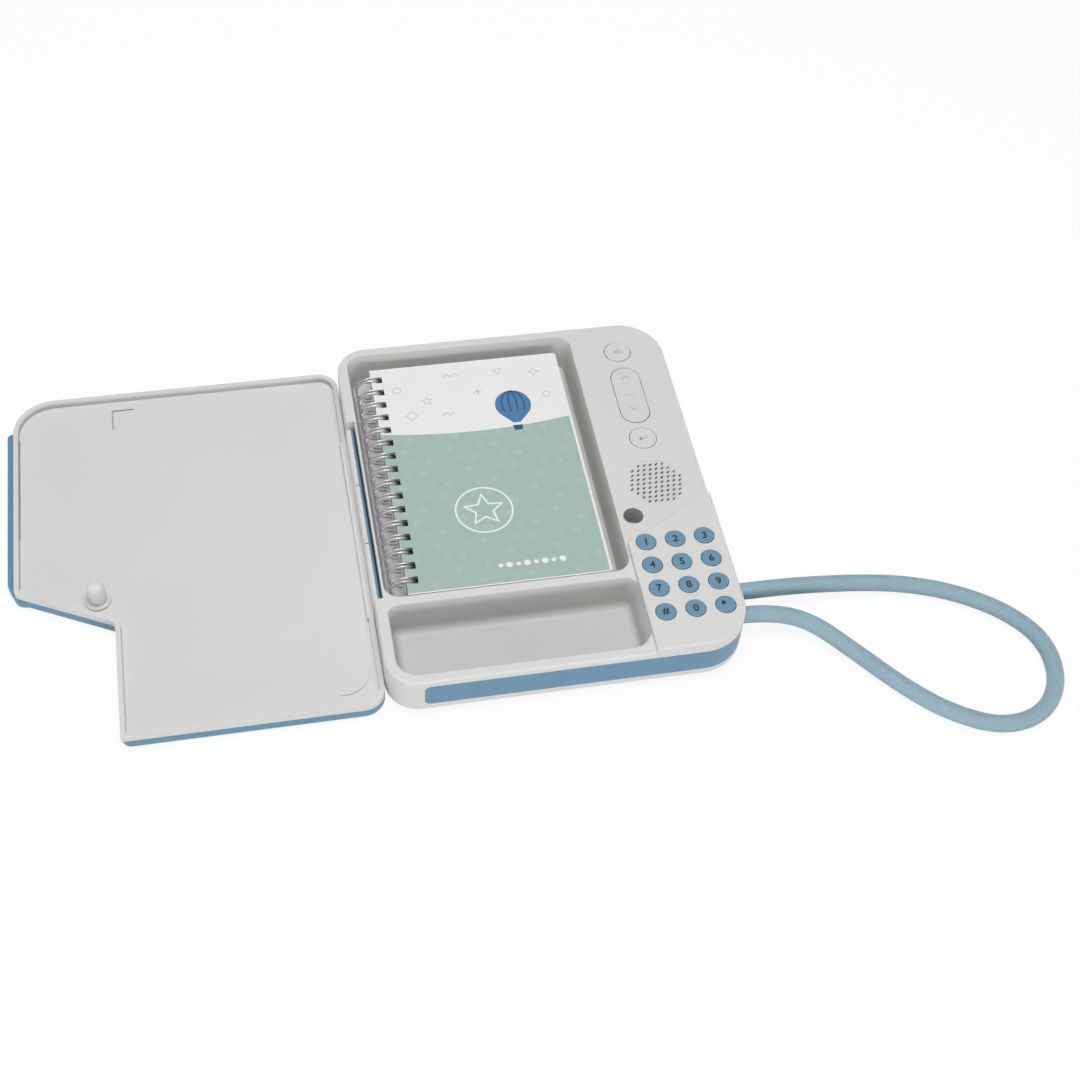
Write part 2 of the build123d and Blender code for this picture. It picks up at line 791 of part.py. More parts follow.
with BuildPart() as latch_pin:
    add(post(latch_x, lock_y, latch_radius, cover_height, cover_height + latch_height))
    fillet(latch_pin.edges().group_by(Axis.Z)[-1], 3.0)
    add(post(latch_x, lock_y, 5.9, cover_height, cover_height + 1.3))
    add(
        block(
            latch_x - 6,
            lock_y + 2,
            shut_z - slider_high - 0.4,
            latch_x + 6,
            lock_y + 8,
            shut_z - slider_low + 0.4,
        ),
        mode=Mode.SUBTRACT,
    )
latch_pin.part.label = "latch_pin"
export_step(latch_pin.part, "parts/latch_pin.step")


with BuildPart() as hinge_pin:
    with Locations(Plane((hinge_x, (slot_front + slot_back) / 2, hinge_z), z_dir=(0, 1, 0))):
        Cylinder(pin_radius, slot_back - slot_front + 5.6)
hinge_pin.part.label = "hinge_pin"
export_step(hinge_pin.part, "parts/hinge_pin.step")


# Cord loop: from the upper hole, down to the table and back to the lower hole
cord_start_x = case_width - 3.2
cord_points = [
    (cord_start_x, cord_upper_y, cord_z),
    (177.0, cord_upper_y, cord_z),
    (193.0, 37.4, 10.2),
    (211.0, 38.6, 7.0),
    (232.0, 38.0, 4.9),
    (253.0, 34.6, 4.2),
    (274.0, 26.6, 4.1),
    (294.0, 13.2, 4.15),
    (307.5, -5.5, 4.1),
    (306.5, -28.5, 4.15),
    (293.0, -45.6, 4.1),
    (271.5, -49.6, 4.15),
    (250.0, -38.4, 4.1),
    (233.0, -21.6, 4.3),
    (216.0, 0.5, 5.0),
    (198.5, 18.6, 8.6),
    (178.0, cord_lower_y, cord_z),
    (cord_start_x, cord_lower_y, cord_z),
]
cord_radii = []
for before, point, after in zip(cord_points, cord_points[1:], cord_points[2:]):
    leg_in = Vector(*point) - Vector(*before)
    leg_out = Vector(*after) - Vector(*point)
    turn = radians(leg_in.get_angle(leg_out))
    cord_radii.append(0.45 * min(leg_in.length, leg_out.length) / tan(turn / 2))
print("cord bend radii", [round(radius, 1) for radius in cord_radii])

with BuildPart() as cord_loop:
    with BuildLine() as cord_route:
        FilletPolyline(*cord_points, radius=cord_radii)
    cord_wire = cord_route.wires()[0]
    with BuildSketch(Plane(cord_points[0], z_dir=cord_wire % 0)):
        Circle(cord_radius)
    sweep(path=cord_wire)
cord_length = cord_wire.length
print("cord length", round(cord_length, 1))
print("volume over section times length", cord_loop.part.volume / (pi * cord_radius**2 * cord_length))
cord_loop.part.label = "cord_loop"
export_step(cord_loop.part, "parts/cord_loop.step")


with BuildPart() as cord_stops:
    for y in (cord_upper_y, cord_lower_y):
        with Locations(Plane((cord_start_x - 1.2, y, cord_z), z_dir=(1, 0, 0))):
            Cylinder(cord_radius + 0.9, 2.4)
cord_stops.part.label = "cord_stops"
export_step(cord_stops.part, "parts/cord_stops.step")


# Notebook: boards, pages and the wire
loop_places = [loop_first + loop_pitch * i for i in range(loop_count)]
book_high = book_low + book_thickness
hole_length = 2 * (half_pair + wire_radius) + 1.2


# Hole from the nearest to the farthest x at which the wire passes between two heights
def binding_holes(low, high):
    far_level = max(abs(low - ring_z), abs(high - ring_z))
    near_level = 0 if low < ring_z < high else min(abs(low - ring_z), abs(high - ring_z))
    left = ring_x + sqrt((loop_radius - wire_radius) ** 2 - far_level**2) - hole_gap
    right = ring_x + sqrt((loop_radius + wire_radius) ** 2 - near_level**2) + hole_gap
    with Locations(*[((left + right) / 2, y, (low + high) / 2) for y in loop_places]):
        Box(right - left, hole_length, high - low + 1, mode=Mode.SUBTRACT)


with BuildPart() as book_back_cover:
    add(block(paper_left, paper_front, book_low, paper_right, paper_back, book_low + board_cover))
    upright = book_back_cover.edges().filter_by(Axis.Z).sort_by(Axis.X)[-2:]
    fillet(upright, page_corner)
    binding_holes(book_low, book_low + board_cover)
book_back_cover.part.label = "book_back_cover"
export_step(book_back_cover.part, "parts/book_back_cover.step")


with BuildPart() as book_pages:
    add(
        block(
            paper_left + 0.4,
            paper_front + 0.5,
            book_low + board_cover,
            paper_right - 0.8,
            paper_back - 0.5,
            book_high - board_cover - 0.1,
        )
    )
    upright = book_pages.edges().filter_by(Axis.Z).sort_by(Axis.X)[-2:]
    fillet(upright, page_corner)
    binding_holes(book_low + board_cover, book_high - board_cover)
book_pages.part.label = "book_pages"
export_step(book_pages.part, "parts/book_pages.step")


with BuildPart() as book_front_cover:
    add(
        block(
            paper_left, paper_front, book_high - board_cover, paper_right, paper_back, book_high
        )
    )
    upright = book_front_cover.edges().filter_by(Axis.Z).sort_by(Axis.X)[-2:]
    fillet(upright, page_corner)
    binding_holes(book_high - board_cover, book_high)
book_front_cover.part.label = "book_front_cover"
export_step(book_front_cover.part, "parts/book_front_cover.step")


# The wire runs out and back round each ring and on to the next, its seam low on the left
tip_angle = radians(-110)
spine_angle = radians(202)
ring_centre = Vector(ring_x, 0, ring_z)


def ring_point(angle, y):
    return ring_centre + Vector(loop_radius * cos(angle), y, loop_radius * sin(angle))


def tangent(angle):
    return Vector(-sin(angle), 0, cos(angle))


wire_edges = []
for i, y in enumerate(loop_places):
    rows = (y - half_pair, y + half_pair)
    middle = (spine_angle + tip_angle) / 2
    for j, row in enumerate(rows):
        first, last = (spine_angle, tip_angle) if j == 0 else (tip_angle, spine_angle)
        quarter = (3 * first + last) / 4
        three_quarter = (first + 3 * last) / 4
        wire_edges.append(
            ThreePointArc(ring_point(first, row), ring_point(quarter, row), ring_point(middle, row))
        )
        wire_edges.append(
            ThreePointArc(
                ring_point(middle, row), ring_point(three_quarter, row), ring_point(last, row)
            )
        )
        if j == 0:
            crown = ring_point(tip_angle, y) - tangent(tip_angle) * half_pair
            wire_edges.append(
                ThreePointArc(ring_point(tip_angle, row), crown, ring_point(tip_angle, rows[1]))
            )
    if i < loop_count - 1:
        gap = loop_pitch / 2 - half_pair
        crown = ring_point(spine_angle, y + loop_pitch / 2) + tangent(spine_angle) * gap
        wire_edges.append(
            ThreePointArc(
                ring_point(spine_angle, rows[1]),
                crown,
                ring_point(spine_angle, rows[1] + 2 * gap),
            )
        )

tips = ring_point(tip_angle, 0) - tangent(tip_angle) * half_pair
roots = ring_point(spine_angle, 0) + tangent(spine_angle) * (loop_pitch / 2 - half_pair)
wire_gap = min(
    (tips - roots).length - 2 * wire_radius,
    2 * half_pair - 2 * wire_radius,
    loop_pitch - 2 * half_pair - 2 * wire_radius,
)
print("least gap between turns of the binding wire", round(wire_gap, 2))

with BuildPart() as wire_binding:
    with BuildLine() as wire_route:
        for edge in wire_edges:
            add(edge)
    start = wire_edges[0]
    with BuildSketch(Plane(start @ 0, z_dir=start % 0)):
        Circle(wire_radius)
    sweep(path=wire_route.wires()[0])
wire_binding.part.label = "wire_binding"
export_step(wire_binding.part, "parts/wire_binding.step")
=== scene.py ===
import bpy
import numpy as np
from mathutils import Matrix, Vector


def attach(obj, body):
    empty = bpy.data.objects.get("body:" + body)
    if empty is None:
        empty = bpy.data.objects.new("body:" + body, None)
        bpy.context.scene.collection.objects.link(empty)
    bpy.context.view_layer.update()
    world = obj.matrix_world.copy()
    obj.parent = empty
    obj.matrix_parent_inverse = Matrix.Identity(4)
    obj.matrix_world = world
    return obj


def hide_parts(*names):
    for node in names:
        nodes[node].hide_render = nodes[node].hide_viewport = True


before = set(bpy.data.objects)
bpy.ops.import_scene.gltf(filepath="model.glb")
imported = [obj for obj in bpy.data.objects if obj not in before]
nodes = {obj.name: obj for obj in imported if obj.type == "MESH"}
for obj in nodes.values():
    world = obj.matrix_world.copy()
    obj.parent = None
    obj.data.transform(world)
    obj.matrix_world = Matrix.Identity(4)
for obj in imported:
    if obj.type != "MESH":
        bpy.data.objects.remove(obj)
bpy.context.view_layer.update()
print("frame loaded:", len(nodes), "nodes")


# the case's drawing is in mm from its front left corner; the frame's origin is under the hinge at mid-depth
originMm = np.array([1.0, 102.75, 0.0])


def place(points):
    # drawing millimetres to frame metres: take the origin away, then divide by a thousand
    return (np.asarray(points, float) - originMm) / 1000


class Val:
    # one socket; each operator adds the Math node that works it out
    def __init__(self, shade, socket):
        self.shade = shade
        self.socket = socket

    def calc(self, operation, *terms):
        return self.shade.node("ShaderNodeMath", {"operation": operation}, dict(enumerate(terms)))

    def __add__(self, other):
        return self.calc("ADD", self, other)

    def __radd__(self, other):
        return self.calc("ADD", other, self)

    def __sub__(self, other):
        return self.calc("SUBTRACT", self, other)

    def __rsub__(self, other):
        return self.calc("SUBTRACT", other, self)

    def __mul__(self, other):
        return self.calc("MULTIPLY", self, other)

    def __rmul__(self, other):
        return self.calc("MULTIPLY", other, self)

    def __truediv__(self, other):
        return self.calc("DIVIDE", self, other)

    def __rtruediv__(self, other):
        return self.calc("DIVIDE", other, self)

    def __pow__(self, other):
        return self.calc("POWER", self, other)

    def __mod__(self, other):
        return self.calc("FLOORED_MODULO", self, other)

    def __gt__(self, other):
        return self.calc("GREATER_THAN", self, other)

    def __lt__(self, other):
        return self.calc("LESS_THAN", self, other)

    def __abs__(self):
        return self.calc("ABSOLUTE", self)

    def sin(self):
        return self.calc("SINE", self)

    def cos(self):
        return self.calc("COSINE", self)

    def root(self):
        return self.calc("SQRT", self)

    def floor(self):
        return self.calc("FLOOR", self)

    def most(self, other):
        return self.calc("MAXIMUM", self, other)

    def turn(self, other):
        return self.calc("ARCTAN2", self, other)

    def ramp(self, zero, one):
        # 0 up to the first value, 1 from the second, smooth between; the second may be the smaller
        return self.shade.node("ShaderNodeMapRange", {"interpolation_type": "SMOOTHSTEP"},
                               {"Value": self, "From Min": zero, "From Max": one})


class Shade:
    # a material and the nodes that feed its shader
    def __init__(self, name, **fixed):
        self.material = bpy.data.materials.new(name)
        self.material.use_nodes = True
        self.tree = self.material.node_tree
        self.shader = self.tree.nodes["Principled BSDF"]
        for socket, value in fixed.items():
            self.set(socket.replace("_", " "), value)

    def set(self, socket, value):
        self.join(value, self.shader.inputs[socket])

    def join(self, value, socket):
        if isinstance(value, Val):
            self.tree.links.new(value.socket, socket)
        elif isinstance(value, tuple) and len(value) == 3 and socket.type == "RGBA":
            socket.default_value = (*value, 1)
        else:
            socket.default_value = value

    def node(self, kind, settings, values, out=0):
        made = self.tree.nodes.new(kind)
        for key, value in settings.items():
            setattr(made, key, value)
        for key, value in values.items():
            self.join(value, made.inputs[key])
        return Val(self, made.outputs[out])

    def spot(self):
        return self.node("ShaderNodeTexCoord", {}, {}, "Object")

    def axes(self, vector):
        return [self.node("ShaderNodeSeparateXYZ", {}, {"Vector": vector}, i) for i in range(3)]

    def drawing(self):
        # the surface point in the drawing's millimetres
        return [axis * 1000 + float(shift) for axis, shift in zip(self.axes(self.spot()), originMm)]

    def noise(self, vector, scale, detail=2.0):
        return self.node("ShaderNodeTexNoise", {}, {"Vector": vector, "Scale": scale, "Detail": detail})

    def mix(self, share, first, second):
        return self.node("ShaderNodeMix", {"data_type": "RGBA"}, {0: share, 6: first, 7: second}, 2)

    def bump(self, height, depth, strength):
        # depth in metres
        return self.node("ShaderNodeBump", {}, {"Height": height, "Distance": depth, "Strength": strength})


def linear(r, g, b):
    # a screen colour of 0 to 255 as the linear value that a shader takes
    c = np.array([r, g, b]) / 255
    return tuple(float(v) for v in np.where(c > 0.04045, ((c + 0.055) / 1.055) ** 2.4, c / 12.92))


def scaled(colour, share):
    return tuple(min(1.0, c * share) for c in colour)


def addObject(name, data):
    made = bpy.data.objects.new(name, data)
    bpy.context.scene.collection.objects.link(made)
    return made


# the camera as solved from the photograph: its place in the drawing, the way it looks, and which way is right
cameraFacts = {
    "eye": (-44.93, -412.57, 652.63),
    "ahead": (0.1562, 0.60222, -0.7829),
    "right": (0.98117, -0.18578, 0.05286),
    "lens": 57.45,
    "sensor": 36,
    "near": 0.01,
}

cameraData = bpy.data.cameras.new("camera")
cameraData.lens = cameraFacts["lens"]
cameraData.sensor_width = cameraFacts["sensor"]
cameraData.clip_start = cameraFacts["near"]
camera = addObject("camera", cameraData)
ahead = Vector(cameraFacts["ahead"]).normalized()
rightward = Vector(cameraFacts["right"])
rightward = (rightward - ahead * rightward.dot(ahead)).normalized()
upward = rightward.cross(ahead)
turned = Matrix((rightward, upward, -ahead)).transposed().to_4x4()
turned.translation = Vector(place(cameraFacts["eye"]))
camera.matrix_world = turned
bpy.context.scene.camera = camera
print("camera set")


def addMesh(name, points, faces, material, uv=None, smooth=True):
    mesh = bpy.data.meshes.new(name)
    mesh.from_pydata(np.asarray(points).tolist(), [], faces)
    if uv is not None:
        layer = mesh.uv_layers.new(name="along")
        layer.data.foreach_set("uv", np.asarray(uv, np.float32).ravel())
    mesh.polygons.foreach_set("use_smooth", [smooth] * len(mesh.polygons))
    mesh.materials.append(material)
    mesh.update()
    return addObject(name, mesh)


def meshOf(curve):
    # a curve or a line of type as a plain mesh
    holder = addObject(curve.name, curve)
    mesh = bpy.data.meshes.new_from_object(holder.evaluated_get(bpy.context.evaluated_depsgraph_get()))
    bpy.data.objects.remove(holder)
    return mesh


def reachAlong(path):
    # the distance along the path from its start to each of its points
    return np.concatenate([[0], np.cumsum(np.linalg.norm(np.diff(path, axis=0), axis=1))])


def tube(path, radius, around):
    # ring of points about each path point: path + radius (cos t * side + sin t * up), the side turned as
    # little as possible from ring to ring; u runs along in metres, v once round
    path = np.asarray(path, float)
    ahead = np.gradient(path, axis=0)
    ahead /= np.linalg.norm(ahead, axis=1)[:, None]
    side = np.empty_like(ahead)
    start = np.cross(ahead[0], (0, 0, 1)) if abs(ahead[0][2]) < 0.9 else np.cross(ahead[0], (1, 0, 0))
    side[0] = start / np.linalg.norm(start)
    for i in range(1, len(path)):
        held = side[i - 1] - ahead[i] * np.dot(side[i - 1], ahead[i])
        side[i] = held / np.linalg.norm(held)
    up = np.cross(side, ahead)
    t = np.linspace(0, 2 * np.pi, around, endpoint=False)
    ring = side[:, None, :] * np.cos(t)[None, :, None] + up[:, None, :] * np.sin(t)[None, :, None]
    points = (path[:, None, :] + ring * radius).reshape(-1, 3)
    # quads from each ring to the next, then the two ends
    n = len(path)
    rows = np.arange(n - 1)[:, None] * around
    a = (rows + np.arange(around)).ravel()
    b = (rows + (np.arange(around) + 1) % around).ravel()
    ends = [list(range(around)), list(range((n - 1) * around, n * around))[::-1]]
    faces = np.stack([a, a + around, b + around, b], 1).tolist() + ends
    reach = reachAlong(path)
    here, onward = np.repeat(reach[:-1], around), np.repeat(reach[1:], around)
    low = np.tile(np.arange(around) / around, n - 1)
    high = low + 1 / around
    uv = np.stack([here, low, onward, low, onward, high, here, high], 1).reshape(-1, 2)
    return points, faces, np.concatenate([uv, np.zeros((2 * around, 2))])


# the cord: radius and route in drawing millimetres, the step between its rings and the stitch in metres
cordFacts = {
    "radius": 4.0,
    "points": [
        (162.8, 35.3, 13.5), (177.0, 35.3, 13.5), (193.0, 37.4, 10.2), (211.0, 38.6, 7.0),
        (232.0, 38.0, 4.9), (253.0, 34.6, 4.2), (274.0, 26.6, 4.1), (294.0, 13.2, 4.15),
        (307.5, -5.5, 4.1), (306.5, -28.5, 4.15), (293.0, -45.6, 4.1), (271.5, -49.6, 4.15),
        (250.0, -38.4, 4.1), (233.0, -21.6, 4.3), (216.0, 0.5, 5.0), (198.5, 18.6, 8.6),
        (178.0, 22.2, 13.5), (162.8, 22.2, 13.5),
    ],
    "splineSteps": 24,
    "step": 0.0006,
    "around": 40,
    "colour": linear(156, 182, 194),
    # the darker colour is painted shade at the strands' edges, and also the tint of random darker patches
    "shadeAndPatchTint": linear(112, 146, 162),
    "stitch": 0.00072,
    "strands": 38,
}


def splinePoints(points, steps):
    # the route's NURBS spline, evaluated to a row of points
    curve = bpy.data.curves.new("route", "CURVE")
    curve.dimensions = "3D"
    curve.resolution_u = steps
    spline = curve.splines.new("NURBS")
    spline.points.add(len(points) - 1)
    for spot, point in zip(spline.points, place(points)):
        spot.co = (*point, 1)
    spline.order_u = 3
    spline.use_endpoint_u = True
    return np.array([v.co for v in meshOf(curve).vertices])


def evenly(path, gap):
    # the same line with points a fixed distance apart
    reach = reachAlong(path)
    wanted = np.linspace(0, reach[-1], int(reach[-1] / gap) + 1)
    return np.stack([np.interp(wanted, reach, path[:, i]) for i in range(3)], 1)


def braidShade(facts):
    # two families of strands cross; each square cell of the weave shows one of them, by turns
    s = Shade("cordBraid", Roughness=0.72, Sheen_Weight=0.25, Sheen_Roughness=0.4)
    along, girth, _ = s.axes(s.node("ShaderNodeUVMap", {"uv_map": "along"}, {}))
    rows = along / facts["stitch"]
    columns = girth * facts["strands"]
    p = rows * 0.5 + columns * 0.5
    q = rows * 0.5 - columns * 0.5
    over = ((p.floor() + q.floor()) % 2.0) > 0.5
    # how far from the middle of the strand on top, across it and towards its ends, 0 to 1
    fromP = abs((p % 1.0) - 0.5) * 2.0
    fromQ = abs((q % 1.0) - 0.5) * 2.0
    across = fromP * over + fromQ * (1.0 - over)
    ends = fromQ * over + fromP * (1.0 - over)
    crown = (1.0 - across * across) * (1.0 - ends ** 4.0)
    thread = ((p - q) * 18.0).sin() * 0.5 + 0.5
    fuzz = s.noise(s.spot(), 900.0, 4.0)
    patch = s.noise(s.spot(), 60.0)
    # painted shade: each strand darkens towards its edges, where it passes under the strands beside it
    colour = s.mix(crown.ramp(0.0, 0.75), facts["shadeAndPatchTint"], facts["colour"])
    colour = s.mix((fuzz - 0.5) * 0.35 + 0.12, colour, scaled(facts["colour"], 1.25))
    colour = s.mix(patch.ramp(0.35, 0.8) * 0.12, colour, facts["shadeAndPatchTint"])
    s.set("Base Color", colour)
    s.set("Normal", s.bump(crown + thread * 0.12 + fuzz * 0.15, 0.00016, 0.7))
    return s.material


cordPath = evenly(splinePoints(cordFacts["points"], cordFacts["splineSteps"]), cordFacts["step"])
cordPoints, cordFaces, cordUv = tube(cordPath, cordFacts["radius"] / 1000, cordFacts["around"])
cordLoop = addMesh("cordLoop", cordPoints, cordFaces, braidShade(cordFacts), cordUv)
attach(cordLoop, "case")
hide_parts("cord_loop")


# painted shade on the case: its colour darkened in the trays between their deck and floor levels and down the
# lock hole, and the grille a little darker, the last two as middle x, middle y and radius
trayFacts = {
    "left": 4.6, "right": 121.0, "front": 4.2, "back": 201.0,
    "deck": 22.5, "floor": 9.0, "paintedShade": 0.32,
    "hole": (127.0, 79.0, 5.2), "holeDeck": 23.8, "holeFloor": 16.0, "holePaintedShade": 0.62,
    "grille": (142.5, 97.9, 14.6), "grilleEdge": 0.55, "grilleTone": 0.12,
}


def paintedShadeAndGrille(s, facts):
    # painted shade that grows with depth below the deck, kept to the trays' outline, and the same down the
    # lock hole; the grille is evenly darker and fades out towards its edge
    x, y, z = s.drawing()
    # painted shade: the trays darken with depth below the deck
    trays = z.ramp(facts["deck"], facts["floor"])
    for axis, low, high in ((x, facts["left"], facts["right"]), (y, facts["front"], facts["back"])):
        trays = trays * (abs(axis - (low + high) / 2) < (high - low) / 2)

    def spread(middleX, middleY, radius):
        # distance from the middle over the radius, squared
        across = (x - middleX) / radius
        along = (y - middleY) / radius
        return across * across + along * along

    # painted shade down the lock hole, darker with depth
    hole = z.ramp(facts["holeDeck"], facts["holeFloor"]) * (spread(*facts["hole"]) < 1.0)
    grille = 1.0 - spread(*facts["grille"]).ramp(facts["grilleEdge"], 1.0)
    return trays * facts["paintedShade"] + hole * facts["holePaintedShade"] + grille * facts["grilleTone"]


# painted shade for the open lid as well: the stretch of its rim's inner wall, the heights of that wall, and
# the heights of the moulding marks sunk in the lid's flat inside
rimFacts = {
    "left": -159.2, "middle": 120.0, "back": 203.2,
    "top": 9.4, "low": 7.2, "floor": 6.2, "mark": 6.0, "markLow": 5.3, "paintedShade": 0.55,
}


def paintedRimShade(s, facts):
    # painted shade, strongest at the foot of the wall and in the sunk marks, 0 on the flat
    x, y, z = s.drawing()
    wall = z.ramp(facts["top"], facts["low"]) * (z > facts["floor"])
    marks = (z < facts["mark"]) * (z > facts["markLow"])
    inside = (x > facts["left"]) * (y < facts["back"]) * (y > facts["middle"])
    return (wall + marks) * inside * facts["paintedShade"]


def mouldedShade(name, colour, rough=0.46, grain=0.5, depth=None, facts=None):
    # a fine spark-eroded grain, faint flow clouds in the colour, and small rubbed patches in the gloss;
    # depth is the function that gives the painted shade, the share of a darker colour laid where shade falls
    s = Shade(name, IOR=1.46, Specular_IOR_Level=0.4)
    where = s.spot()
    grit = s.noise(where, 2600.0, 3.0)
    cloud = s.noise(where, 14.0, 3.0)
    rub = s.noise(where, 95.0, 4.0)
    tint = s.mix(cloud.ramp(0.3, 0.75), scaled(colour, 0.985), scaled(colour, 1.012))
    tint = s.mix((grit - 0.5) * 0.06 + 0.03, tint, scaled(colour, 0.8))
    if depth:
        # painted shade: a darker copy of the colour mixed in where the depth function says shade falls
        tint = s.mix(depth(s, facts), tint, scaled(colour, 0.35))
    s.set("Base Color", tint)
    s.set("Roughness", rub.ramp(0.35, 0.75) * 0.07 + (grit - 0.5) * 0.08 + (rough - 0.03))
    s.set("Normal", s.bump(grit, 0.00003, grain))
    return s.material


def metalShade(name, colour, rough, streak=(1.0, 1.0, 1.0)):
    # drawn metal: noise stretched along one axis gives its fine streaks
    s = Shade(name, Metallic=1.0)
    where = s.node("ShaderNodeMapping", {}, {"Vector": s.spot(), "Scale": streak})
    line = s.noise(where, 900.0, 3.0)
    dull = s.noise(s.spot(), 120.0, 3.0)
    s.set("Base Color", s.mix(line, scaled(colour, 0.86), scaled(colour, 1.08)))
    s.set("Roughness", (line - 0.5) * 0.2 + dull * 0.12 + rough)
    s.set("Normal", s.bump(line, 0.00002, 0.4))
    return s.material


def rubberShade(name, colour):
    # paler and duller where dust lies
    s = Shade(name, IOR=1.5)
    dust = s.noise(s.spot(), 400.0, 5.0)
    s.set("Base Color", s.mix(dust.ramp(0.4, 0.8) * 0.4, colour, scaled(colour, 1.9)))
    s.set("Roughness", 0.62 + dust * 0.2)
    s.set("Normal", s.bump(dust, 0.00005, 0.5))
    return s.material


def boardShade():
    # solder mask over copper tracks: the tracks follow the edges of a coarse square cell pattern
    s = Shade("boardMask", Roughness=0.28, Coat_Weight=0.3)
    where = s.spot()
    cells = s.node("ShaderNodeTexVoronoi", {"feature": "F1", "distance": "MANHATTAN"},
                   {"Vector": where, "Scale": 260.0, "Randomness": 0.7})
    edge = cells.ramp(0.42, 0.5)
    pads = s.node("ShaderNodeTexVoronoi", {}, {"Vector": where, "Scale": 420.0}).ramp(0.16, 0.13)
    tint = s.mix(edge, linear(18, 92, 52), linear(38, 132, 80))
    s.set("Base Color", s.mix(pads, tint, linear(205, 185, 120)))
    s.set("Normal", s.bump(edge, 0.00003, 0.5))
    return s.material


sleeveFacts = {"barrel": linear(46, 62, 84), "band": linear(196, 160, 96), "bandFrom": 177.75}


def sleeveShade(facts):
    # a plain cell sleeve: dark barrel with a lighter band at one end and fine scuffs
    s = Shade("cellSleeve", Roughness=0.3, Metallic=0.35)
    _, y, _ = s.drawing()
    scuff = s.noise(s.spot(), 300.0, 5.0).ramp(0.62, 0.7)
    tint = s.mix(y > facts["bandFrom"], facts["barrel"], facts["band"])
    s.set("Base Color", s.mix(scuff * 0.3, tint, linear(190, 190, 190)))
    s.set("Normal", s.bump(scuff, 0.00002, 0.3))
    return s.material


paperFacts = {"sheet": 0.16, "dark": linear(206, 205, 200), "pale": linear(243, 242, 238)}


def paperShade(facts):
    # stacked sheets: thin dark lines one sheet apart in height, uneven like cut paper
    s = Shade("pageStack", Roughness=0.85)
    where = s.spot()
    _, _, z = s.drawing()
    shift = s.noise(where, 700.0, 2.0)
    sheet = ((z * (2 * np.pi / facts["sheet"]) + shift * 2.2).sin() * 0.5 + 0.5) ** 2.0
    blot = s.noise(where, 60.0, 2.0)
    tint = s.mix(sheet, facts["dark"], facts["pale"])
    s.set("Base Color", s.mix(blot * 0.15, tint, linear(226, 222, 210)))
    s.set("Normal", s.bump(sheet, 0.00006, 0.6))
    return s.material


def coneShade():
    # pressed grey paper, all fibres
    s = Shade("speakerPaper", Roughness=0.9)
    fibre = s.noise(s.spot(), 1400.0, 5.0)
    s.set("Base Color", s.mix(fibre, linear(118, 118, 118), linear(158, 158, 156)))
    s.set("Normal", s.bump(fibre, 0.00008, 0.7))
    return s.material


def dress(name, material):
    # a CAD piece takes this material alone
    nodes[name].data.materials.clear()
    nodes[name].data.materials.append(material)


plasticFacts = {
    "grey": linear(217, 217, 215),
    "blue": linear(101, 144, 172),
    "key": linear(110, 148, 175),
    "lock": linear(190, 190, 187),
    "stop": linear(60, 62, 66),
}
greyColour = plasticFacts["grey"]
buttonColour = scaled(greyColour, 0.985)
finishes = {
    mouldedShade("greyPlastic", greyColour): ["bottom_case", "battery_door"],
    # casePlastic and lidPlastic carry painted shade in the trays, the lock hole and along the lid's rim
    mouldedShade("casePlastic", greyColour, depth=paintedShadeAndGrille, facts=trayFacts): ["top_case"],
    mouldedShade("lidPlastic", greyColour, depth=paintedRimShade, facts=rimFacts): ["lid_frame"],
    mouldedShade("buttonPlastic", buttonColour, 0.42): ["button_up", "button_low", "volume_rocker"],
    mouldedShade("bluePlastic", plasticFacts["blue"], 0.44): ["side_band", "lid_cover"],
    mouldedShade("keyPlastic", plasticFacts["key"], 0.38, 0.3): [n for n in nodes if n.startswith("key_")],
    mouldedShade("pinPlastic", greyColour, 0.4, 0.2): ["latch_pin"],
    mouldedShade("lockPlastic", plasticFacts["lock"], 0.4, 0.2): ["lock_slider"],
    mouldedShade("stopPlastic", plasticFacts["stop"], 0.5): ["cord_stops"],
    metalShade("zincSteel", linear(178, 180, 184), 0.3, (1, 8, 1)):
        ["hinge_pin", "case_screws", "door_screw"],
    metalShade("nickelSpring", linear(205, 204, 200), 0.22): ["battery_contacts", "lock_spring"],
    metalShade("speakerSteel", linear(158, 158, 160), 0.4): ["speaker_frame", "lock_coil"],
    rubberShade("footRubber", linear(48, 48, 50)): ["rubber_feet"],
    rubberShade("domeSilicone", linear(190, 192, 190)): ["keypad_rubber", "button_rubber"],
    boardShade(): ["keypad_board", "main_board"],
    sleeveShade(sleeveFacts): ["batteries"],
    paperShade(paperFacts): ["book_pages"],
    coneShade(): ["speaker_cone"],
}
for material, names in finishes.items():
    for name in names:
        dress(name, material)
print("finishes set")


# the front cover: its edges in the drawing, the arc that splits it, and the grid of motifs in its lower field
coverFacts = {
    "left": 16.0, "right": 111.6, "front": 51.4,
    "sideBorder": 1.2, "frontBorder": 0.7,
    "white": linear(240, 240, 240),
    "sage": linear(167, 191, 182),
    "pale": linear(181, 202, 194),
    "split": 146.0, "sag": 4.0,
    "grid": 7.4,
    "petals": 5.0, "flower": 1.75, "petalDepth": 0.45,
    "ring": 1.35, "ringHalf": 0.28,
    "dot": 0.55,
}


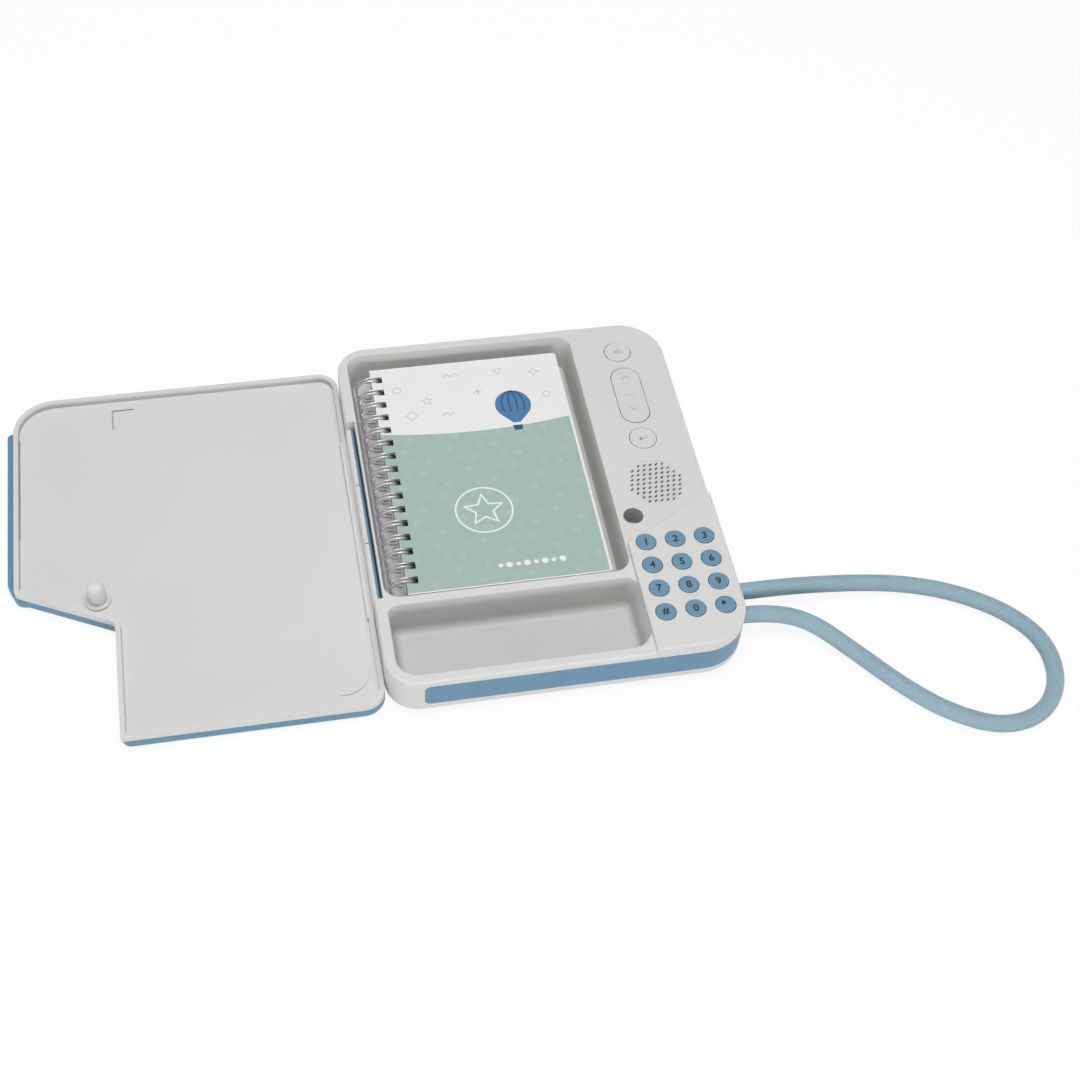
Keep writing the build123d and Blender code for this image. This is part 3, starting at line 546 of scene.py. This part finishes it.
def coverShade(facts):
    # two fields parted by a shallow arc: y = split + sag * (distance from the middle / half width) squared;
    # in the lower one, five-petalled flowers, rings and dots stand on a staggered grid
    s = Shade("coverPrint", Roughness=0.34, Coat_Weight=0.35, Coat_Roughness=0.2)
    x, y, _ = s.drawing()
    middle = (facts["left"] + facts["right"]) / 2
    off = (x - middle) / ((facts["right"] - facts["left"]) / 2)
    field = (y - off * off * facts["sag"] - facts["split"]).ramp(0.12, -0.12)
    inside = ((facts["right"] - facts["sideBorder"]) - x).ramp(-0.1, 0.1)
    inside = inside * (y - facts["front"] - facts["frontBorder"]).ramp(-0.1, 0.1)
    # the point's cell of the grid, and where it is from the cell's middle
    grid = facts["grid"]
    row = (y / grid).floor()
    stagger = x + (row % 2.0) * (grid / 2)
    column = (stagger / grid).floor()
    cellX = (stagger % grid) - grid / 2
    cellY = (y % grid) - grid / 2
    reach = (cellX * cellX + cellY * cellY).root()
    petal = (cellY.turn(cellX) * facts["petals"]).cos() * facts["petalDepth"]
    flower = (petal + facts["flower"] - reach).ramp(-0.08, 0.08) * reach.ramp(0.45, 0.6)
    ring = (facts["ringHalf"] - abs(reach - facts["ring"])).ramp(-0.08, 0.08)
    dots = (facts["dot"] - reach).ramp(-0.08, 0.08)
    # each cell has one of the three, by turns
    kind = (row + column * 2.0) % 3.0
    motif = flower * (kind < 0.5) + ring * (kind > 0.5) * (kind < 1.5) + dots * (kind > 1.5)
    printed = s.mix(motif * 0.75, facts["sage"], facts["pale"])
    cloud = s.noise(s.spot(), 40.0, 3.0)
    tint = s.mix(field * inside, facts["white"], printed)
    s.set("Base Color", s.mix((cloud - 0.5) * 0.08 + 0.02, tint, scaled(facts["sage"], 0.8)))
    s.set("Roughness", 0.3 + cloud * 0.1)
    s.set("Normal", s.bump(s.noise(s.spot(), 1800.0, 2.0), 0.00001, 0.3))
    return s.material


def cardShade():
    # plain grey-white card with flecks
    s = Shade("cardBack", Roughness=0.7)
    fleck = s.noise(s.spot(), 900.0, 4.0)
    s.set("Base Color", s.mix(fleck.ramp(0.4, 0.7), linear(222, 222, 218), linear(238, 238, 235)))
    s.set("Normal", s.bump(fleck, 0.00003, 0.4))
    return s.material


dress("book_front_cover", coverShade(coverFacts))
dress("book_back_cover", cardShade())
print("covers set")


wireFacts = {
    "loops": 16, "first": 59.5, "pitch": 25.4 / 3,  # the first loop's middle, and three loops to the inch
    "half": 0.95,  # from a loop's middle to each of its two wires
    "ring": 7.35, "wire": 0.42, "x": 15.7, "z": 13.52,  # ring and wire radius, and the ring's middle
    "tip": -110.0, "spine": 202.0,  # angles where a loop's two wires join, and where they go on to the next
    "around": 12,
    # painted shade: from paleTo to darkFrom the wire turns to the dark colour as it dips into the holes
    "paleTo": 0.6, "darkFrom": 5.2,  # how far right of the ring's middle the wire darkens
    "pale": linear(214, 206, 218), "bright": linear(240, 234, 244), "dark": linear(52, 54, 64),
}


def wirePath(facts):
    # round the ring from spine to tip, a half turn across the tip, back round to the spine, and a half
    # turn on to the next ring: ring point = centre + r (cos a, sin a), tangent = (-sin a, cos a)
    tip, spine = np.radians(facts["tip"]), np.radians(facts["spine"])
    half = facts["half"]
    gap = facts["pitch"] / 2 - half
    out = np.linspace(spine, tip, 40)
    bend = np.linspace(0, np.pi, 10)[1:-1, None]

    def ring(angle, y):
        x = facts["x"] + facts["ring"] * np.cos(angle)
        z = facts["z"] + facts["ring"] * np.sin(angle)
        return np.stack([x, y + 0 * angle, z], 1)

    def crossing(angle, y, radius, way):
        tangent = np.array([-np.sin(angle), 0, np.cos(angle)]) * way
        bow = radius * np.sin(bend) * tangent + radius * (1 - np.cos(bend)) * np.array([0, 1, 0])
        return ring(np.array([angle]), y) + bow

    rows = []
    for i in range(facts["loops"]):
        y = facts["first"] + facts["pitch"] * i
        rows += [ring(out, y - half), crossing(tip, y - half, half, -1), ring(out[::-1], y + half)]
        if i < facts["loops"] - 1:
            rows.append(crossing(spine, y + half, gap, 1))
    return place(np.concatenate(rows))


def wireShade(facts):
    # bright lacquered wire with a faint violet cast, with painted shade darkening it where it dips into the
    # holes
    s = Shade("bindingLacquer", Metallic=0.45, Coat_Weight=0.4, Coat_Roughness=0.15)
    x, _, _ = s.drawing()
    worn = s.noise(s.spot(), 700.0, 4.0)
    lacquer = s.mix(worn.ramp(0.4, 0.75), facts["pale"], facts["bright"])
    # painted shade towards the holes
    paintedHoleShade = x.ramp(facts["x"] + facts["paleTo"], facts["x"] + facts["darkFrom"])
    s.set("Base Color", s.mix(paintedHoleShade, lacquer, facts["dark"]))
    s.set("Roughness", 0.24 + worn * 0.14)
    s.set("Normal", s.bump(worn, 0.00002, 0.3))
    return s.material


wirePoints, wireFaces, wireUv = tube(wirePath(wireFacts), wireFacts["wire"] / 1000, wireFacts["around"])
bindingWire = addMesh("bindingWire", wirePoints, wireFaces, wireShade(wireFacts), wireUv)
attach(bindingWire, "book")
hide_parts("wire_binding")
print("wire made")


symbolFacts = {
    "names": ["1", "2", "3", "4", "5", "6", "7", "8", "9", "hash", "0", "star"],
    "x": 128.6, "y": 60.4, "dx": 14.0, "dy": 13.5, "keyTop": 27.3,  # the first key's middle, and the steps
    "size": 5.2, "weight": 0.16, "high": 0.05,  # the type, how much it is thickened, and its height
    "starArm": 1.25, "starWidth": 0.6, "starShift": (-0.8, 1.0),  # the star, and its place on its key
    "starSunk": 0.05, "starHigh": 0.03,  # its depth below and height above the key's top
    "ink": linear(50, 52, 56),
}


def inkShade(name, colour):
    # printed ink, a little uneven
    s = Shade(name, Roughness=0.5)
    grit = s.noise(s.spot(), 1500.0, 3.0)
    s.set("Base Color", s.mix(grit, scaled(colour, 0.85), scaled(colour, 1.25)))
    s.set("Normal", s.bump(grit, 0.00002, 0.4))
    return s.material


def textMesh(name, words, facts, centre, material):
    # a line of type made into a mesh, centred on a point of the drawing
    curve = bpy.data.curves.new(name, "FONT")
    curve.body = words
    curve.size = facts["size"] / 1000
    curve.offset = facts["weight"] / 1000
    curve.extrude = facts["high"] / 2 / 1000
    curve.resolution_u = 6
    mesh = meshOf(curve)
    points = np.array([v.co for v in mesh.vertices])
    points += place(centre) - (points.min(0) + points.max(0)) / 2
    mesh.vertices.foreach_set("co", points.astype(np.float32).ravel())
    mesh.materials.clear()
    mesh.materials.append(material)
    mesh.name = name
    return addObject(name, mesh)


def atHeight(flat, z):
    # points of the drawing's plane, lifted to one height
    return np.column_stack([flat, np.full(len(flat), z)])


def strokePrism(lines, width, low, high):
    # each line of points becomes a flat strip: its points moved half a width to both sides along the mitre,
    # with a top and a bottom sheet and walls round the edge; a line that ends where it starts is a ring
    points, faces, base = [], [], 0
    for line in lines:
        line = np.asarray(line, float)
        ring = np.allclose(line[0], line[-1])
        step = np.diff(line, axis=0)
        step /= np.linalg.norm(step, axis=1)[:, None]
        side = np.stack([-step[:, 1], step[:, 0]], 1)
        before = np.concatenate([side[-1:] if ring else side[:1], side])
        after = np.concatenate([side, side[-1:]])
        if ring:
            line, before, after = line[:-1], before[:-1], after[:-1]
        mitre = before + after
        mitre /= np.maximum((mitre * after).sum(1), 0.35)[:, None]  # no spike at a sharp corner
        sides = np.concatenate([line + mitre * width / 2, line - mitre * width / 2])
        points += [atHeight(sides, low), atHeight(sides, high)]
        n = len(line)
        top = 2 * n
        j = np.arange(n if ring else n - 1)
        k = (j + 1) % n
        a, b, c, d = base + j, base + k, base + n + k, base + n + j
        for quad in ((a, b, c, d), (d + top, c + top, b + top, a + top),
                     (a + top, b + top, b, a), (d, c, c + top, d + top)):
            faces += np.stack(quad, 1).tolist()
        if not ring:
            first, last = base, base + n - 1
            faces.append([first, first + n, first + n + top, first + top])
            faces.append([last + n, last, last + top, last + n + top])
        base += 2 * top
    return np.concatenate(points), faces


def starShape(facts, middle):
    # three strokes crossing at one point, a sixth of a turn apart: from centre - arm to centre + arm
    angles = np.radians([30, 90, 150])
    arms = facts["starArm"] * np.stack([np.cos(angles), np.sin(angles)], 1)
    centre = np.add(middle, facts["starShift"])
    return strokePrism([[centre - arm, centre + arm] for arm in arms], facts["starWidth"],
                       facts["keyTop"] - facts["starSunk"], facts["keyTop"] + facts["starHigh"])


keyInk = inkShade("keyInk", symbolFacts["ink"])
for i, keyName in enumerate(symbolFacts["names"]):
    x = symbolFacts["x"] + symbolFacts["dx"] * (i % 3)
    y = symbolFacts["y"] - symbolFacts["dy"] * (i // 3)
    if keyName == "star":
        points, faces = starShape(symbolFacts, (x, y))
        sign = addMesh("sign_star", place(points), faces, keyInk, smooth=False)
    else:
        words = "#" if keyName == "hash" else keyName
        sign = textMesh("sign_" + keyName, words, symbolFacts, (x, y, symbolFacts["keyTop"]), keyInk)
    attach(sign, "key_body_" + keyName)


# raised signs: each button's body, the sign's lines about its middle, and that middle in the drawing
buttonSigns = {
    "button_up": ("up_button", [[(-2.1, -1.1), (0, 1.4), (2.1, -1.1), (-2.1, -1.1)]], (142.5, 185.8)),
    "volume_rocker": ("rocker", [[(-2.3, 10.4), (0, 12.9), (2.3, 10.4)],
                                 [(-2.3, -8.2), (0, -10.7), (2.3, -8.2)],
                                 [(-2.6, -0.4), (-1.6, -0.4)],
                                 [(-0.5, -0.4), (0.5, -0.4)],
                                 [(1.6, -0.4), (2.6, -0.4)]], (142.5, 155.5)),
    "button_low": ("low_button", [[(1.9, 1.5), (1.9, -0.8), (-1.8, -0.8)],
                                  [(-0.7, 0.3), (-1.9, -0.8), (-0.7, -1.9)]], (142.5, 126.5)),
}
# the signs' darker grey is painted shade, standing in for the shade along the raised signs' edges
signFacts = {"width": 0.85, "low": 24.2, "high": 24.62, "colour": scaled(greyColour, 0.84)}

paintedShadeSignPlastic = mouldedShade("paintedShadeSignPlastic", signFacts["colour"], 0.42)
for name, (body, lines, middle) in buttonSigns.items():
    placed = [np.add(line, middle) for line in lines]
    points, faces = strokePrism(placed, signFacts["width"], signFacts["low"], signFacts["high"])
    sign = addMesh("sign_" + name, place(points), faces, paintedShadeSignPlastic, smooth=False)
    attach(sign, body)
print("symbols made")


# the print on the notebook's cover: a balloon with seams and a basket, a star in a ring, a row of beads and
# small line motifs, all in ink of one thickness
printFacts = {
    "top": 19.9, "sunk": 0.01, "film": 0.03,
    "white": linear(238, 240, 238), "grey": linear(196, 198, 198),
    "blue": linear(74, 122, 168), "deep": linear(44, 78, 122),
    "balloon": (84.0, 161.0), "wide": 9.0, "tall": 9.5, "openAngle": 0.62,
    "neck": [(-1.8, -12), (1.8, -12)],
    "basket": [(-2, -17), (2, -17), (2.4, -13.8), (-2.4, -13.8)],
    "seams": (-5.6, -1.9, 1.9, 5.6), "seamTall": 9.2, "seamWidth": 0.7, "seamOver": 0.02,
    "emblem": (58.5, 96), "emblemRing": 13.6, "emblemStar": (9.4, 4.3, 5), "emblemWidth": 0.9,
    "beads": 8, "beadX": 60.5, "beadY": 62.0, "beadStep": 4.2, "beadRadii": (1.1, 1.6),
    "smallWidth": 0.5,
}


def flatShape(outlines, low, high):
    # closed outlines raised from low to high: a bottom, a top and the walls between
    points, faces, base = [], [], 0
    for outline in outlines:
        n = len(outline)
        points += [atHeight(outline, low), atHeight(outline, high)]
        j = base + np.arange(n)
        k = base + (np.arange(n) + 1) % n
        faces += [j[::-1].tolist(), (j + n).tolist()]
        faces += np.stack([j, k, k + n, j + n], 1).tolist()
        base += 2 * n
    return np.concatenate(points), faces


def arc(x, y, wide, tall, angles):
    # middle + (wide cos t, tall sin t)
    return np.stack([x + wide * np.cos(angles), y + tall * np.sin(angles)], 1)


def circle(x, y, r, n):
    # n steps round, back to the first point
    return arc(x, y, r, r, np.linspace(0, 2 * np.pi, n + 1))


def starLine(x, y, outer, inner, tips):
    # points on two circles by turns, the first one straight up, back to the first point
    t = np.linspace(0, 2 * np.pi, 2 * tips + 1) + np.pi / 2
    r = np.where(np.arange(len(t)) % 2 == 0, outer, inner)
    return arc(x, y, r, r, t)


def printOn(name, shape, ink):
    points, faces = shape
    piece = addMesh(name, place(points), faces, ink, smooth=False)
    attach(piece, "book_cover")


whiteInk = inkShade("whiteInk", printFacts["white"])
greyInk = inkShade("greyInk", printFacts["grey"])
blueInk = inkShade("blueInk", printFacts["blue"])
deepInk = inkShade("deepInk", printFacts["deep"])
low, high = printFacts["top"] - printFacts["sunk"], printFacts["top"] + printFacts["film"]

balloon = printFacts["balloon"]
roundAngles = np.linspace(-printFacts["openAngle"], np.pi + printFacts["openAngle"], 30)
envelope = arc(*balloon, printFacts["wide"], printFacts["tall"], roundAngles)
envelope = np.concatenate([envelope, np.add(printFacts["neck"], balloon)])
printOn("printBalloon", flatShape([envelope], low, high), blueInk)
seamAngles = np.linspace(-0.5, np.pi / 2, 14)
seams = [arc(*balloon, wide, printFacts["seamTall"], seamAngles) for wide in printFacts["seams"]]
seamTop = high + printFacts["seamOver"]
printOn("printGores", strokePrism(seams, printFacts["seamWidth"], low, seamTop), deepInk)
printOn("printBasket", flatShape([np.add(printFacts["basket"], balloon)], low, high), deepInk)

emblem = [starLine(*printFacts["emblem"], *printFacts["emblemStar"]),
          circle(*printFacts["emblem"], printFacts["emblemRing"], 60)]
printOn("printEmblem", strokePrism(emblem, printFacts["emblemWidth"], low, high), whiteInk)
beads = []
for i in range(printFacts["beads"]):
    beadX = printFacts["beadX"] + printFacts["beadStep"] * i
    beads.append(circle(beadX, printFacts["beadY"], printFacts["beadRadii"][i % 2], 24)[:-1])
printOn("printBeads", flatShape(beads, low, high), whiteInk)
smallLines = [
    circle(28, 178, 2.0, 20),
    starLine(42, 169, 2.8, 1.2, 5),
    [(52, 184), (54, 186), (56, 184), (58, 186), (60, 184)],
    [(66, 172), (70, 172)], [(68, 170), (68, 174)],
    starLine(98, 182, 2.6, 1.1, 4),
    circle(102, 166, 1.8, 20),
    [(30, 160), (33, 163), (36, 160), (33, 157), (30, 160)],
    [(48, 158), (50, 160), (52, 158), (54, 160)],
    [(78, 186), (82, 186), (80, 182.6), (78, 186)],
]
printOn("printSmall", strokePrism(smallLines, printFacts["smallWidth"], low, high), greyInk)
print("print made")


# the floor's half side and its depth under the feet are in metres
stageFacts = {"floorWhite": 0.9, "glow": 0.9, "sky": 0.24, "reach": 30.0, "below": 0.0002}


def floorShade(facts):
    # a matt pale floor; rays that go straight to the camera or a mirror see most of it as plain white
    s = Shade("paleFloor")
    matt = s.node("ShaderNodeBsdfDiffuse", {}, {"Color": (facts["floorWhite"],) * 3})
    white = s.node("ShaderNodeEmission", {}, {"Strength": 1.0})
    cameraRay = s.node("ShaderNodeLightPath", {}, {}, "Is Camera Ray")
    mirrorRay = s.node("ShaderNodeLightPath", {}, {}, "Is Glossy Ray")
    share = cameraRay.most(mirrorRay) * facts["glow"]
    both = s.node("ShaderNodeMixShader", {}, {0: share, 1: matt, 2: white})
    s.join(both, s.tree.nodes["Material Output"].inputs["Surface"])
    s.tree.nodes.remove(s.shader)
    return s.material


floorPoints = [(x * stageFacts["reach"], y * stageFacts["reach"], -stageFacts["below"])
               for x, y in ((-1, -1), (1, -1), (1, 1), (-1, 1))]
floor = addMesh("floor", floorPoints, [[0, 1, 2, 3]], floorShade(stageFacts), smooth=False)

world = bpy.data.worlds.new("sky")
bpy.context.scene.world = world
world.use_nodes = True
sky = world.node_tree.nodes["Background"]
sky.inputs["Color"].default_value = (1, 1, 1, 1)
sky.inputs["Strength"].default_value = stageFacts["sky"]

lamps = {
    "overhead": {"spot": (0.0, -0.1, 1.3), "aim": (0, 0, 0), "size": 0.8, "power": 13.2},
    "lowFront": {"spot": (0.1, -1.5, 0.13), "aim": (0, 0, 0.01), "size": 0.2, "power": 6.5},
    "lowRight": {"spot": (1.5, 0.0, 0.12), "aim": (0, 0, 0.01), "size": 0.15, "power": 2.5},
    "lowLeft": {"spot": (-1.5, 0.0, 0.12), "aim": (0, 0, 0.01), "size": 0.15, "power": 2.5},
}
for name, facts in lamps.items():
    data = bpy.data.lights.new(name, "AREA")
    data.energy = facts["power"]
    data.size = facts["size"]
    lamp = addObject(name, data)
    lamp.location = facts["spot"]
    lamp.rotation_euler = (Vector(facts["aim"]) - Vector(facts["spot"])).to_track_quat("-Z", "Y").to_euler()
bpy.context.scene.view_settings.view_transform = "Standard"
print("stage set")
